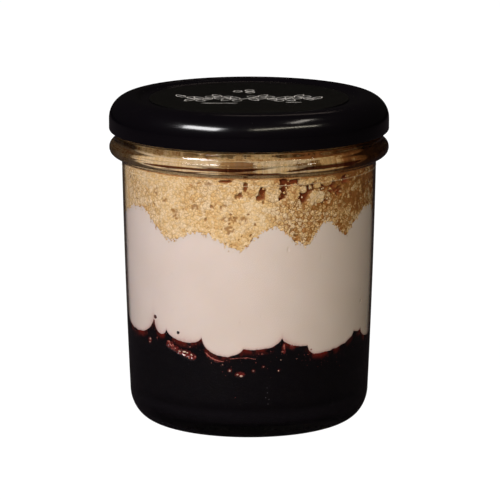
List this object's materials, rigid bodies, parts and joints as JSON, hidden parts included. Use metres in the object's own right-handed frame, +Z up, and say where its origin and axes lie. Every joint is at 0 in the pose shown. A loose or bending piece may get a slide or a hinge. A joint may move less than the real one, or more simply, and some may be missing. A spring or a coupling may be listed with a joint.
{
  "type": "blueberry cheesecake cup",
  "caption": "Shut clear glass jar with a black twist-off lid, filled with dark berry compote, pale cheesecake cream and golden biscuit crumble in wavy layers.",
  "frame": {"origin": "middle of the jar's base, on the surface it stands on", "axes": "+Z up along the jar's axis, -Y towards the side that the picture shows"},
  "size_m": [0.0856, 0.0856, 0.1],
  "materials": {
    "clear_glass": "polished",
    "berry_compote": "gloss",
    "cheesecake_cream": "satin",
    "biscuit_crumble": "matte",
    "black_lacquer": "gloss",
    "label_paper": "satin"
  },
  "bodies": {
    "root": {"glass_jar": "clear_glass", "compote_layer": "berry_compote", "cream_layer": "cheesecake_cream", "crumble_layer": "biscuit_crumble", "lid": "black_lacquer", "lid_label": "label_paper"}
  },
  "joints": []
}
